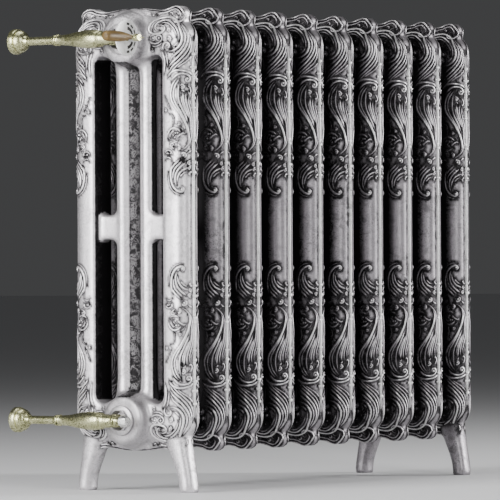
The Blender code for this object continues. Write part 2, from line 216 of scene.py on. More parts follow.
def crest(up):
    """The thin crest with a rolled volute at each end; up is +1 above, -1 below."""
    top = HEIGHT - CASTING_MID
    roll = arc(0.0870, top - 0.0142, 0.0142, -75, 110, 10)
    half = [(0.085, top - 0.036)] + roll + [(0.066, top - 0.0045), (0.050, top - 0.0085),
                                             (0.034, top - 0.0065), (0.018, top - 0.0030)]
    whole = half + [(0.0, top - 0.002)] + [(-y, z) for y, z in reversed(half)]
    return plate([(y, CASTING_MID + up * z) for y, z in whole], 0.0098, rim=0.002, rim_steps=2)


def volute_eye(side, up):
    """A round boss on both faces of a volute."""
    eye = rounded(turned([(-0.0122, 0.0), (-0.0122, 0.0085), (0.0122, 0.0085), (0.0122, 0.0)], 20), 0.002)
    height = CASTING_MID + up * (HEIGHT - CASTING_MID - 0.0150)
    return eye, place(y=side * 0.0880, z=height) @ ALONG_X


def hub(height):
    shape = [(-HUB_HALF, 0.0), (-HUB_HALF, 0.0345), (-0.0415, 0.0372), (-0.0375, 0.0396), (-0.030, HUB_R),
             (-0.022, 0.0440), (0.022, 0.0440), (0.030, HUB_R), (0.0375, 0.0396), (0.0415, 0.0372),
             (HUB_HALF, 0.0345), (HUB_HALF, 0.0)]
    return turned(shape, 40), place(z=height) @ ALONG_X


def rib(side):
    """One tube of the double inner column, flaring into both headers."""
    flare = [(0.118, 0.0), (0.118, 0.021), (0.136, 0.0185), (0.150, 0.0155), (0.162, RIB_R + 0.0008),
             (0.176, RIB_R)]
    mirror = [(2 * CASTING_MID - z, r) for z, r in reversed(flare)]
    return turned(flare + mirror, 24), place(y=side * RIB_Y)


def tie(side):
    """The short bar at mid height between a rib and its outer column, with filleted ends."""
    mid, half = (TIE_LOW + TIE_TOP) / 2, (TIE_TOP - TIE_LOW) / 2
    upper = [(0.022, half + 0.006), (0.033, half + 0.006), (0.037, half + 0.002), (0.043, half),
             (0.057, half), (0.062, half + 0.002), (0.066, half + 0.007), (0.070, half + 0.016),
             (0.084, half + 0.016)]
    outline = upper + [(y, -z) for y, z in reversed(upper)]
    return plate([(side * y, mid + z) for y, z in outline], 0.0115, rim=0.006, rim_steps=3)


def leg(side):
    """A round cast leg that swings out from the belly and stands flat on the floor."""
    bm = bmesh.new()
    rings = [(0.112, 0.076, 0.019, 0.020), (0.090, 0.080, 0.0200, 0.0195),
             (0.070, 0.0835, 0.0190, 0.0185), (0.052, 0.0885, 0.0165, 0.0175),
             (0.036, 0.0935, 0.0145, 0.0165), (0.020, 0.0975, 0.0132, 0.0160),
             (0.008, 0.0990, 0.0132, 0.0162), (0.002, 0.0992, 0.0130, 0.0160),
             (0.0, 0.0992, 0.0124, 0.0154)]
    before = None
    for z, y, half_y, half_x in rings:
        made = bmesh.ops.create_circle(bm, cap_ends=False, segments=20, radius=1.0)["verts"]
        for vert in made:
            squarish = 1.0 + 0.10 * abs(math.sin(2 * math.atan2(vert.co.y, vert.co.x)))
            vert.co = Vector((vert.co.x * half_x * squarish, side * y + vert.co.y * half_y * squarish, z))
        ring = list({e for v in made for e in v.link_edges})
        if before:
            bmesh.ops.bridge_loops(bm, edges=before + ring)
        before = ring
    bmesh.ops.holes_fill(bm, edges=bm.edges, sides=0)
    bmesh.ops.recalc_face_normals(bm, faces=bm.faces)
    return bm


def swell(cy, cz, half_y, half_z, tilt, out, side, up):
    """A low leaf-shaped swelling on both faces of an outer column."""
    bm = bmesh.new()
    bmesh.ops.create_uvsphere(bm, u_segments=20, v_segments=12, radius=1.0)
    depth = COLUMN_HALF + out
    bmesh.ops.scale(bm, verts=bm.verts, vec=(depth, half_y, half_z))
    turn = Matrix.Rotation(math.radians(-side * up * tilt), 4, "X")
    centre = CASTING_MID + up * (cz - CASTING_MID)
    return bm, place(y=side * cy, z=centre) @ turn


def casting(name, with_legs):
    """Blend the parts of a section into one skin, as a casting's fillets do."""
    parts = [(frame_plate(), STAY), (crest(1), STAY), (crest(-1), STAY),
             hub(HUB_HIGH), hub(HUB_LOW), rib(-1), rib(1)]
    web = plate([(-0.02, 0.13), (0.02, 0.13), (0.02, 0.69), (-0.02, 0.69)], 0.0032)
    parts.append((web, STAY))
    for side in (-1, 1):
        parts.append((tie(side), STAY))
        for up in (-1, 1):
            parts.append(volute_eye(side, up))
            parts.append(swell(0.088, 0.614, 0.0145, 0.036, 12, 0.0016, side, up))
            parts.append(swell(0.090, 0.503, 0.0120, 0.030, 0, 0.0010, side, up))
        if with_legs:
            parts.append((leg(side), STAY))
    mesh = mesh_of(joined(parts), name, sharp=0)
    body = bpy.data.objects.new(name, mesh)
    bpy.context.scene.collection.objects.link(body)
    fuse = body.modifiers.new("fuse", "REMESH")
    fuse.mode = "VOXEL"
    fuse.voxel_size = VOXEL
    fuse.use_smooth_shade = True
    bpy.context.view_layer.update()
    skin = bpy.data.meshes.new_from_object(body.evaluated_get(bpy.context.evaluated_depsgraph_get()))
    bpy.data.objects.remove(body, do_unlink=True)
    bm = bmesh.new()
    bm.from_mesh(skin)
    free = [v for v in bm.verts if v.co.z > 0.004]
    for _ in range(SOFTENING_PASSES):
        bmesh.ops.smooth_vert(bm, verts=free, factor=0.5, use_axis_x=True, use_axis_y=True, use_axis_z=True)
    for vert in bm.verts:
        if vert.co.z < 0.0035 and with_legs:
            vert.co.z = max(vert.co.z, 0.0)
    bmesh.ops.recalc_face_normals(bm, faces=bm.faces)
    bm.to_mesh(skin)
    bm.free()
    skin.shade_smooth()
    return skin


# ---- the ornament, drawn in millimetres ----
# Each ridge is (half width, points). A point is (distance from the middle plane measured
# along the surface round to the front, height above the floor).
SWIRL = [
    (1.9, [(61, 727.5), (66, 729), (72, 727), (73.5, 723), (70, 718.5), (62, 716), (52, 715.5), (45.5, 719),
           (43.5, 726), (47, 733.5), (55, 738.5), (66, 741.2), (77, 741), (87, 737.5), (95, 731),
           (101, 723), (104.8, 714), (105.5, 706), (103, 699), (97, 692.5), (89, 688.5), (80, 688)]),
    (1.5, [(64, 722), (59, 721), (55.5, 724), (55, 729), (59, 734), (68, 736.8), (78, 735.5), (86, 731),
           (93, 725), (98, 717.5), (100, 709.5), (98.5, 702)]),
    (1.2, [(64, 731.5), (72, 733), (80, 730.5), (88, 725), (94, 717), (96, 709)]),
    (1.1, [(50, 722), (49, 728), (53, 734), (60, 738)]),
    (1.3, [(99, 731), (105, 725.5), (109.5, 718), (111, 710), (109.5, 701), (104.5, 692), (97, 685),
           (89, 679), (82, 673)]),
    (1.5, [(103, 732), (109, 727), (114, 719.5), (116, 711), (114.5, 701.5), (110, 692), (103, 683.5),
           (95, 676), (87, 669.5), (81, 662)]),
    (1.3, [(108, 730), (113.5, 724), (118, 715), (119.8, 706), (118.5, 697), (114, 688), (107, 680),
           (98, 672), (90, 665.5), (84, 659), (80, 651)]),
    (1.2, [(122.5, 712), (123.5, 704), (122, 694), (118, 685), (111, 677), (102, 669.5), (94, 663.5),
           (87, 656), (84, 648)]),
    (1.1, [(125.5, 684), (119, 677), (110, 670), (101, 665), (94, 660)]),
    (1.2, [(86, 694), (94, 697.5), (99, 704)]),
    (1.0, [(100, 690), (94, 684), (87, 677), (82, 668)]),
]
SWIRL_CURLS = [
    (1.4, [(44, 707), (47.5, 702.3), (56, 700.4), (64, 702.5), (68.3, 707), (67, 712), (61.5, 713.7),
           (57.5, 711), (58.5, 706.5), (63, 705), (65.5, 708)]),
    (1.3, [(44.5, 710), (49, 713.2), (54, 712), (55, 707.5), (51.5, 705.5), (49.5, 708.5)]),
    (1.2, [(47, 697.5), (56, 696), (64, 698), (69, 703)]),
    (1.6, [(72, 688), (70, 695), (74, 701.3), (80.5, 701), (83.2, 697), (80.5, 693.5), (77.5, 696)]),
    (1.5, [(79.5, 707), (82, 711.3), (86, 708.5), (84.5, 704), (80.5, 704)]),
    (1.3, [(77.5, 720.5), (79.5, 724), (83.5, 722.5), (83, 718.8), (79.5, 718)]),
    (1.1, [(46.8, 692.5), (48, 689.3), (51, 689), (52.8, 691.8)]),
    (1.6, [(66.5, 690), (71, 683), (73.5, 675), (73.5, 664), (72, 652)]),
    (1.3, [(74, 690.5), (77.5, 682), (79, 672), (79.5, 664)]),
]
LEAF = [
    (1.6, [(79, 646), (85, 654), (94, 658), (104, 658), (113, 656.5), (121, 653), (126, 649)]),
    (1.5, [(86, 640), (92, 648), (99, 652.3), (108, 653), (115, 651.2), (119.3, 646), (117, 641),
           (112, 641), (111, 645.5), (114.5, 646.8)]),
    (1.7, [(97, 646), (90, 638.5), (86, 629), (85.3, 619), (88, 609), (94, 599.5), (101, 591), (107, 581.5),
           (112.5, 571), (116, 560), (117, 550), (113, 542.5)]),
    (1.4, [(102, 646), (95, 638), (91, 629), (90.3, 618), (93, 608), (98.5, 599), (104, 590.5), (109, 581),
           (113, 572)]),
    (1.4, [(101, 640), (98.5, 630), (98, 620), (99.5, 610), (103.5, 601), (107.5, 593), (111.5, 584),
           (114.5, 576)]),
    (1.2, [(103.5, 620.5), (104.2, 611), (107, 602.5), (111, 594), (114.5, 585.5)]),
    (1.4, [(106.5, 624), (106.8, 613), (109.5, 603), (113.5, 593), (117, 583)]),
    (1.3, [(112, 624), (110.8, 614), (113, 603), (117, 591.5), (119.5, 580), (120.5, 566), (119, 554)]),
    (1.2, [(117, 622), (115.5, 612), (118.5, 600), (122, 588), (123.5, 574), (122.5, 560), (119, 548),
           (113, 540), (106, 534.5), (99, 534)]),
    (1.3, [(102, 633.5), (105, 636), (108.5, 633), (106.5, 629.5), (103, 630)]),
    (1.2, [(103, 627), (107, 626.5), (109, 622.5)]),
    (1.2, [(114, 634), (119, 631), (121, 625), (117.5, 621.5), (115.5, 625.5)]),
    (1.1, [(120, 640), (124, 633), (125, 622)]),
    (1.0, [(115, 614), (120, 608), (123.5, 599)]),
]
SIDE_CURLS = [
    (0.9, [(74, 618), (77, 611), (81, 603), (85, 597)]),
    (1.1, [(72.5, 597.5), (75.5, 598.5), (77.2, 595.5), (75, 593), (72.5, 594)]),
    (0.9, [(82, 590.5), (87.5, 588.5), (90.5, 582), (90, 575), (87.5, 569.5)]),
    (1.2, [(96.5, 574.5), (98.5, 577), (101.5, 575), (100, 571.5)]),
    (1.0, [(101.5, 571), (103, 568), (106, 566), (108.5, 560)]),
]
SHELL = [
    (1.5, [(79, 553), (79.5, 560), (84.5, 566.5), (91, 568.5), (98, 566), (102, 561)]),
    (1.2, [(84, 552), (84.5, 558), (88, 562.5), (93, 562)]),
    (1.1, [(88.5, 551.5), (89, 556), (92.5, 558.5)]),
    (1.4, [(97.5, 558.5), (97, 554), (100.5, 557.5), (106, 560), (110, 558)]),
    (1.3, [(80, 550), (85.5, 546.5), (93, 546), (99, 549.5)]),
    (1.4, [(92.5, 538.5), (89.5, 543.5), (85.5, 543.8), (84.2, 540.5), (88, 538), (91.5, 534.5)]),
    (1.5, [(95.5, 540), (98.5, 541.5), (101.3, 538.5), (99.5, 534.8), (96.5, 536.8)]),
    (1.2, [(74, 527.5), (74.5, 531.5), (79.5, 534), (85, 532), (87.8, 527.5), (84, 526.5)]),
    (1.1, [(76.5, 526.8), (80, 529), (82.5, 527)]),
    (1.1, [(74.5, 518.5), (79, 522.3), (84, 521), (87, 517.5)]),
]
HOOK = [
    (1.7, [(87.5, 512), (85, 503), (84.5, 492), (86.5, 482), (91, 474.5), (97.5, 469.7), (104, 469),
           (107.3, 472.8), (104.8, 476.3), (101.5, 474.5)]),
    (1.0, [(80.5, 500), (80.5, 487), (84, 475.5), (91, 467.8), (99, 464.8), (105.5, 466)]),
    (1.4, [(101, 520.5), (95.5, 515), (89.5, 509.5), (86, 503)]),
    (1.3, [(105, 517.5), (99, 511.5), (92.5, 505.5), (88.8, 497), (88.3, 487)]),
    (1.5, [(111, 514.5), (104, 509.5), (97.5, 503.5), (93, 495), (92.3, 486), (94.5, 478)]),
    (1.4, [(116, 506.5), (108, 504), (101, 499), (96.5, 491), (95.5, 483)]),
    (1.2, [(113, 500.5), (106, 497.5), (101, 492)]),
    (1.4, [(103, 526), (105.5, 529.5), (110, 528.5), (111, 524), (107, 522)]),
    (1.3, [(124, 533), (117, 531.5), (112, 527)]),
    (1.3, [(121, 519), (117, 517), (114, 513.5), (117, 511.5), (119, 514)]),
    (1.2, [(123, 509), (118, 508.5), (116, 505), (119, 502.5)]),
    (1.3, [(124, 499), (119.5, 499.5), (116.5, 496), (120, 494)]),
]
# The crest's lines are drawn on the flat side of the crest and its volutes.
CREST = [
    (1.5, [(8, 757), (26, 755.5), (42, 752.8), (58, 752.2), (70, 754.5), (79, 757.5), (87, 758),
           (94.5, 754.5), (99.2, 748), (99.6, 741), (95.5, 734.8), (89.5, 733), (84, 736.5),
           (83.2, 742), (87, 745.5), (91, 743.5)]),
    (1.3, [(46, 748.5), (58, 748.5), (70, 750.2), (79, 753.3), (86.5, 753.8), (92.5, 750.3), (95.2, 744.5),
           (92.5, 738.8)]),
    (1.3, [(73, 746), (76, 749.2), (79.8, 747.5), (78.2, 744)]),
    (1.2, [(38, 748), (42, 745.5), (46, 747)]),
    (1.2, [(50, 744.5), (55, 747.5), (60, 748)]),
]
# Round beads: (place along the surface, height, radius)
BEADS = [(52, 709.2, 1.9), (63, 709.3, 1.7), (80.6, 721, 1.9), (82.6, 707.4, 2.6), (79.4, 697.6, 2.2),
         (114, 645, 2.0), (105.3, 632, 1.5), (98.7, 573.8, 1.6), (75, 595.8, 1.5), (93.5, 560.5, 1.6),
         (92, 553.5, 1.5), (97, 560.5, 1.4), (87.8, 541, 1.4), (98.6, 538, 1.5), (78, 529, 1.4),
         (85, 529, 1.4), (104, 472.5, 1.9), (107.2, 525.8, 1.8), (117, 514.5, 1.5), (119, 506, 1.4),
         (122, 663, 2.6), (123, 600, 2.0), (124, 648, 2.4), (124.5, 556, 2.0)]
BEND_START = 92.0       # where the flat side of a column turns towards its front
BEND_DEPTH = 18.0
BEND_POWER = 2.4
POLISH_AND_PAINTED_HIGHLIGHT = -1.0         # the recess attribute's value on the strips: polished, and made near white and less metallic as a painted highlight
HIDDEN_X = 0.0225       # beyond this a side faces the neighbouring section
HUB_BARREL_X = 0.0262   # beyond this there is only hub


def smooth_line(points, step=0.7):
    """Evenly spaced points on a smooth curve through the given ones."""
    pts = np.array(points, float)
    padded = np.vstack([2 * pts[0] - pts[1], pts, 2 * pts[-1] - pts[-2]])
    line = []
    for a, b, c, d in zip(padded, padded[1:], padded[2:], padded[3:]):
        count = max(2, int(np.linalg.norm(c - b) / step))
        for t in np.arange(count) / count:
            line.append(0.5 * (2 * b + (c - a) * t + (2 * a - 5 * b + 4 * c - d) * t * t
                               + (3 * b - a - 3 * c + d) * t ** 3))
    line.append(pts[-1])
    return np.array(line)


def thinned(line, most_turn=25.0, most_gap=6.0):
    """Keep the points that a smooth line needs, closer together where it curls."""
    kept, turn, gap = [0], 0.0, 0.0
    for k in range(1, len(line) - 1):
        a, b = line[k] - line[k - 1], line[k + 1] - line[k]
        turn += abs(math.degrees(math.atan2(a[0] * b[1] - a[1] * b[0], a @ b)))
        gap += np.linalg.norm(a)
        if turn > most_turn or gap > most_gap:
            kept.append(k)
            turn = gap = 0.0
    kept.append(len(line) - 1)
    return kept


def bend_table():
    """Lengths along the rounded front of a column, with their x, y and direction."""
    t = np.linspace(0.0, 1.0, 240)
    y = BEND_START + BEND_DEPTH * t
    x = -COLUMN_HALF / MM * (1 - t ** BEND_POWER) ** (1 / BEND_POWER)
    length = BEND_START + np.concatenate([[0], np.cumsum(np.hypot(np.diff(x), np.diff(y)))])
    return length, x, y


BEND = bend_table()


def aim(along, height, flat):
    """Where a ray starts and which way it goes to meet the casting at a drawn point."""
    length, xs, ys = BEND
    if flat or along <= BEND_START:
        return Vector((-0.060, -along * MM, height * MM)), Vector((1, 0, 0))
    x, y = np.interp(along, length, xs), np.interp(along, length, ys)
    ahead = min(along + 0.4, length[-1])
    way = Vector((np.interp(ahead, length, xs) - np.interp(ahead - 0.8, length, xs),
                  -(np.interp(ahead, length, ys) - np.interp(ahead - 0.8, length, ys)), 0)).normalized()
    out = Vector((way.y, -way.x, 0))
    if out.x > 0:
        out = -out
    start = Vector((x * MM, -y * MM, height * MM)) + out * 0.02
    return start, -out


def laid(skin_tree, along, height, flat):
    start, way = aim(along, height, flat)
    hit, normal, _, _ = skin_tree.ray_cast(start, way, 0.07)
    return (hit, normal) if hit else (None, None)


def ornament(skin_tree):
    """One eighth of the ornament: ridges and beads that swell out of the casting's skin.

    Returns the mesh, with how dark each of its points is, and the points its lines pass."""
    lines = bpy.data.curves.new("ridges", "CURVE")
    lines.dimensions = "3D"
    lines.bevel_depth = MM
    lines.bevel_resolution = 1
    lines.use_fill_caps = True
    passed = []
    for flat, fuller, group in ((False, 1.16, SWIRL + LEAF + HOOK), (False, 1.04, SWIRL_CURLS + SHELL),
                                (False, 1.0, SIDE_CURLS), (True, 1.1, CREST)):
        for half_width, points in group:
            line = smooth_line(points)
            places = []
            for k in thinned(line):
                hit, normal = laid(skin_tree, line[k][0], line[k][1], flat)
                if hit:
                    from_end = min(k, len(line) - 1 - k) / max(1, len(line) - 1)
                    places.append((hit, normal, fuller * half_width * min(1.0, 0.40 + 4.0 * from_end)))
            if len(places) < 3:
                continue
            spline = lines.splines.new("POLY")
            spline.points.add(len(places) - 1)
            for point, (hit, normal, width) in zip(spline.points, places):
                point.co = (*(hit + normal * width * 0.10 * MM), 1.0)
                point.radius = width
            for k in range(0, len(line), 2):
                hit, _ = laid(skin_tree, line[k][0], line[k][1], flat)
                if hit:
                    passed.append(hit)
    holder = bpy.data.objects.new("ridges", lines)
    bpy.context.scene.collection.objects.link(holder)
    bpy.context.view_layer.update()
    mesh = bpy.data.meshes.new_from_object(holder.evaluated_get(bpy.context.evaluated_depsgraph_get()))
    bpy.data.objects.remove(holder, do_unlink=True)
    bm = bmesh.new()
    bm.from_mesh(mesh)
    for along, height, radius in BEADS:
        hit, normal = laid(skin_tree, along, height, False)
        if hit:
            made = bmesh.ops.create_uvsphere(bm, u_segments=10, v_segments=6, radius=radius * MM)["verts"]
            bmesh.ops.translate(bm, verts=made, vec=hit + normal * radius * 0.35 * MM)
            passed.append(hit)
    bmesh.ops.remove_doubles(bm, verts=bm.verts, dist=1e-6)
    bmesh.ops.recalc_face_normals(bm, faces=bm.faces)
    depth = bm.verts.layers.float.new("recess")
    for vert in bm.verts:
        foot, normal, _, _ = skin_tree.find_nearest(vert.co)
        if foot:
            rise = (vert.co - foot).dot(normal)
            # low on a ridge the value rises to 1, patina at its foot; on its crest it falls below 0, the
            # polished, near-white, less metallic finish of the strips, partly painted highlight
            vert[depth] = max(-0.6, min(1.0, 1.55 - rise / (0.82 * MM)))
    bm.to_mesh(mesh)
    bm.free()
    return mesh, passed


def fillet_strip(side):
    """The narrow strip down the front or back of a section, with its small nubs; its near-white finish is
    polish and partly painted highlight.
    """
    bm = bmesh.new()
    bmesh.ops.create_cone(bm, cap_ends=True, segments=20, radius1=1.0, radius2=1.0,
                          depth=2 * STRIP_HALF_LENGTH)
    rising = [e for e in bm.edges if abs(e.verts[0].co.z - e.verts[1].co.z) > 0.1]
    bmesh.ops.subdivide_edges(bm, edges=rising, cuts=15)
    bmesh.ops.scale(bm, verts=bm.verts, vec=(0.0023, 0.0046, 1.0))
    for vert in bm.verts:
        to_end = max(0.0, abs(vert.co.z) - STRIP_HALF_LENGTH + 0.023) / 0.023
        vert.co.x *= 1.0 - 0.6 * to_end
        vert.co.y *= 1.0 - 0.3 * to_end
    nubs = ((0.683, 3.4), (0.649, 3.0), (0.615, 3.3), (0.549, 3.2), (0.515, 3.6), (0.499, 3.0))
    for up in (-1, 1):
        for height, size in nubs:
            nub = bmesh.ops.create_uvsphere(bm, u_segments=12, v_segments=8, radius=size * MM)["verts"]
            bmesh.ops.scale(bm, verts=nub, vec=(1.25, 0.9, 0.9))
            bmesh.ops.translate(bm, verts=nub, vec=(0, side * 0.0032, up * (height - CASTING_MID)))
    return bm, place(y=side * (HALF_DEPTH - 0.0041), z=CASTING_MID)


def fold(point):
    """The same point in the eighth of the section where the ornament is drawn."""
    return Vector((-abs(point.x), -abs(point.y), CASTING_MID + abs(point.z - CASTING_MID)))


def fade(value, reach):
    """0 below zero, 1 from the given reach on, and a straight slope between."""
    return max(0.0, min(1.0, value / reach))


def patina_and_painted_shade(vert, gap_mm, spread):
    """How dark the plain skin is at a vertex, 0 to 1, given its distance to the ornament: patina near its
    lines, darker round the hubs and in the grooves beside the strip, and painted shade on the walls of the
    windows and on the web between the ribs.
    """
    x, y = abs(vert.co.x), abs(vert.co.y)
    mid_z = abs(vert.co.z - CASTING_MID)
    from_hub = math.hypot(y, min(abs(vert.co.z - HUB_HIGH), abs(vert.co.z - HUB_LOW)))
    shades = [0.80 * fade(spread - gap_mm, 0.5 * spread), 0.36 * fade(0.060 - from_hub, 0.020)]
    in_window = y < COLUMN_IN_Y + 0.001 and mid_z < WINDOW_TOP - CASTING_MID
    # painted shade: the walls inside the windows, near black
    if in_window and abs(vert.normal.y) > 0.80:
        shades.append(0.92)
    if y < 0.0118 and mid_z < 0.262:
        shades.append(0.82)         # painted shade on the web between the two ribs, which the ribs shade
    if y > FRONT_Y - 0.0035 and 0.003 < x < 0.0090 and mid_z < STRIP_HALF_LENGTH - 0.003:
        shades.append(0.70)         # the grooves beside the polished strip
    return max(shades)


def add_ornament(bm, eighth):
    """Mirror the drawn eighth to all eight corners of the section."""
    for flip_x in (1, -1):
        for flip_y in (1, -1):
            for flip_z in (1, -1):
                copy = eighth.copy()
                copy.transform(Matrix.Diagonal((flip_x, flip_y, flip_z, 1)))
                if flip_z < 0:
                    copy.transform(place(z=2 * CASTING_MID))
                if flip_x * flip_y * flip_z < 0:
                    copy.flip_normals()
                bm.from_mesh(copy)
                bpy.data.meshes.remove(copy)


def add_strips(bm):
    """The strips of the front and the back, set to the polished value, which the iron turns near white as a
    painted highlight.
    """
    for side in (-1, 1):
        strip = joined([fillet_strip(side)])
        polish_and_highlight_layer = strip.verts.layers.float.new("recess")
        for vert in strip.verts:
            vert[polish_and_highlight_layer] = POLISH_AND_PAINTED_HIGHLIGHT
        scrap = bpy.data.meshes.new("scrap")
        strip.to_mesh(scrap)
        strip.free()
        bm.from_mesh(scrap)
        bpy.data.meshes.remove(scrap)


def shade_hidden_sides(bm, shaded):
    """Painted shade: darken the sides that face a neighbour, near black below the crest and half as dark on
    the hub barrel; on the near casting also a ramp darker towards the row.
    """
    depth = bm.verts.layers.float["recess"]
    for vert in bm.verts:
        is_strip = vert[depth] <= 0.9 * POLISH_AND_PAINTED_HIGHLIGHT
        # painted shade: the near casting grows darker towards its side that faces the second section
        if shaded == (1,) and not is_strip:
            vert[depth] = min(1.0, vert[depth] + 0.42 * fade(vert.co.x + 0.004, 0.014))
        # painted shade, near black, on a side that faces a neighbour
        if any(vert.co.x * side > HIDDEN_X for side in shaded):
            below_crest = fade(SHOULDER_Z - CASTING_MID - abs(vert.co.z - CASTING_MID), 0.02)
            painted_gap_shade = 0.92 * below_crest * fade(0.097 - abs(vert.co.y), 0.012)
            on_hub = abs(vert.co.x) > HUB_BARREL_X
            vert[depth] = max(vert[depth], painted_gap_shade * (0.45 if on_hub else 1.0))


def dressed_section(name, with_legs, shaded, spread):
    """Casting, mirrored ornament, strips, and for each vertex how dark it is in the recess attribute.

    shaded: the sides (-1, 1) that face a neighbour; these get painted shade, near black, where the
    neighbour shades them.
    spread: how many millimetres the patina reaches from a line of the ornament."""
    skin = casting(name, with_legs)
    skin_tree = BVHTree.FromPolygons([v.co for v in skin.vertices], [p.vertices for p in skin.polygons])
    eighth, passed = ornament(skin_tree)
    lines = KDTree(len(passed))
    for number, point in enumerate(passed):
        lines.insert(point, number)
    lines.balance()
    bm = bmesh.new()
    bm.from_mesh(skin)
    depth = bm.verts.layers.float.new("recess")
    for vert in bm.verts:
        _, _, gap = lines.find(fold(vert.co))
        vert[depth] = patina_and_painted_shade(vert, gap / MM, spread)
    add_ornament(bm, eighth)
    add_strips(bm)
    bpy.data.meshes.remove(eighth)
    bpy.data.meshes.remove(skin)
    shade_hidden_sides(bm, shaded)
    return mesh_of(bm, name, sharp=0)


# ---- materials ----
def new_material(name, roughness, metallic, **sockets):
    made = bpy.data.materials.new(name)
    made.use_nodes = True
    shader = made.node_tree.nodes["Principled BSDF"]
    shader.inputs["Roughness"].default_value = roughness
    shader.inputs["Metallic"].default_value = metallic
    for socket, value in sockets.items():
        shader.inputs[socket.replace("_", " ")].default_value = value
    return made, made.node_tree, shader


def noise(tree, scale, detail=4.0, roughness=0.6, distortion=0.0, stretch=(1, 1, 1)):
    """Noise in Object coordinates; scale is in features per metre."""
    places = tree.nodes.new("ShaderNodeTexCoord")
    mapping = tree.nodes.new("ShaderNodeMapping")
    mapping.inputs["Scale"].default_value = stretch
    made = tree.nodes.new("ShaderNodeTexNoise")
    made.inputs["Scale"].default_value = scale
    made.inputs["Detail"].default_value = detail
    made.inputs["Roughness"].default_value = roughness
    made.inputs["Distortion"].default_value = distortion
    tree.links.new(places.outputs["Object"], mapping.inputs["Vector"])
    tree.links.new(mapping.outputs["Vector"], made.inputs["Vector"])
    return made.outputs["Fac"]


def ramp(tree, value, *stops):
    made = tree.nodes.new("ShaderNodeValToRGB")
    while len(made.color_ramp.elements) < len(stops):
        made.color_ramp.elements.new(0.5)
    for element, (position, colour) in zip(made.color_ramp.elements, stops):
        element.position = position
        element.color = (*colour, 1.0)
    tree.links.new(value, made.inputs["Fac"])
    return made.outputs["Color"]


def grey_ramp(tree, value, *stops):
    return ramp(tree, value, *[(position, (level, level, level)) for position, level in stops])


def mixed(tree, factor, first, second):
    made = tree.nodes.new("ShaderNodeMix")
    made.data_type = "RGBA"
    sockets = (made.inputs["Factor"], made.inputs[6], made.inputs[7])
    for socket, value in zip(sockets, (factor, first, second)):
        if isinstance(value, (tuple, float, int)):
            socket.default_value = (*value, 1.0) if isinstance(value, tuple) else value
        else:
            tree.links.new(value, socket)
    return made.outputs[2]


def maths(tree, kind, first, second):
    made = tree.nodes.new("ShaderNodeMath")
    made.operation = kind
    made.use_clamp = True
    for socket, value in zip(made.inputs, (first, second)):
        if isinstance(value, (float, int)):
            socket.default_value = value
        else:
            tree.links.new(value, socket)
    return made.outputs[0]


def bump(tree, shader, height, distance, strength=1.0):
    made = tree.nodes.new("ShaderNodeBump")
    made.inputs["Strength"].default_value = strength
    made.inputs["Distance"].default_value = distance
    tree.links.new(height, made.inputs["Height"])
    tree.links.new(made.outputs["Normal"], shader.inputs["Normal"])


def burnished_iron(name, patina_amount, recess_gain, dull, bright):
    """Hand-burnished cast iron: bright worn high places, black patina in the recesses.

    The recess attribute is 1 where the iron is black, with patina in the hollows and painted shade on the
    sides that face a neighbour, in the windows and on the web; below 0 it is polished, and there it is also
    made near white and less metallic as a painted highlight."""
    made, tree, shader = new_material(name, 0.40, 0.85)
    recess = tree.nodes.new("ShaderNodeAttribute")
    recess.attribute_type = "GEOMETRY"
    recess.attribute_name = "recess"
    blotches = grey_ramp(tree, noise(tree, 75.0, 7.0, 0.74, 0.8), (0.47, 0.0), (0.62, 1.0))
    specks = grey_ramp(tree, noise(tree, 380.0, 3.0, 0.6), (0.53, 0.0), (0.66, 1.0))
    broad = grey_ramp(tree, noise(tree, 11.0, 3.0, 0.6), (0.36, 0.30), (0.66, 1.0))
    stain = maths(tree, "MULTIPLY", maths(tree, "MAXIMUM", blotches, specks), broad)
    stain = maths(tree, "MULTIPLY", stain, patina_amount)
    polish_and_painted_highlight = maths(tree, "MULTIPLY", recess.outputs["Fac"], -1.0)
    dark = maths(tree, "ADD", stain, maths(tree, "MULTIPLY", recess.outputs["Fac"], recess_gain))
    tone = mixed(tree, noise(tree, 26.0, 5.0, 0.6), dull, bright)
    # painted highlight: where polished, the tone goes near white
    tone = mixed(tree, polish_and_painted_highlight, tone, (0.96, 0.95, 0.95))
    tree.links.new(mixed(tree, dark, tone, (0.010, 0.009, 0.010)), shader.inputs["Base Color"])
    rough = maths(tree, "SUBTRACT", grey_ramp(tree, dark, (0.0, 0.40), (1.0, 0.55)),
                  maths(tree, "MULTIPLY", polish_and_painted_highlight, 0.14))
    tree.links.new(rough, shader.inputs["Roughness"])
    grain = maths(tree, "ADD", maths(tree, "MULTIPLY", noise(tree, 700.0, 4.0, 0.7), 0.5),
                  maths(tree, "MULTIPLY", noise(tree, 150.0, 3.0, 0.6), 0.5))
    outside_polish_and_highlight = grey_ramp(tree, polish_and_painted_highlight, (0.0, 1.0), (0.9, 0.0))
    grain = maths(tree, "MULTIPLY", grain, outside_polish_and_highlight)
    # painted highlight: polished places are less metallic, so they read white from every side
    tree.links.new(grey_ramp(tree, polish_and_painted_highlight, (0.3, 0.85), (1.0, 0.25)), shader.inputs["Metallic"])
    bump(tree, shader, grain, 0.0006, 0.6)
    return made


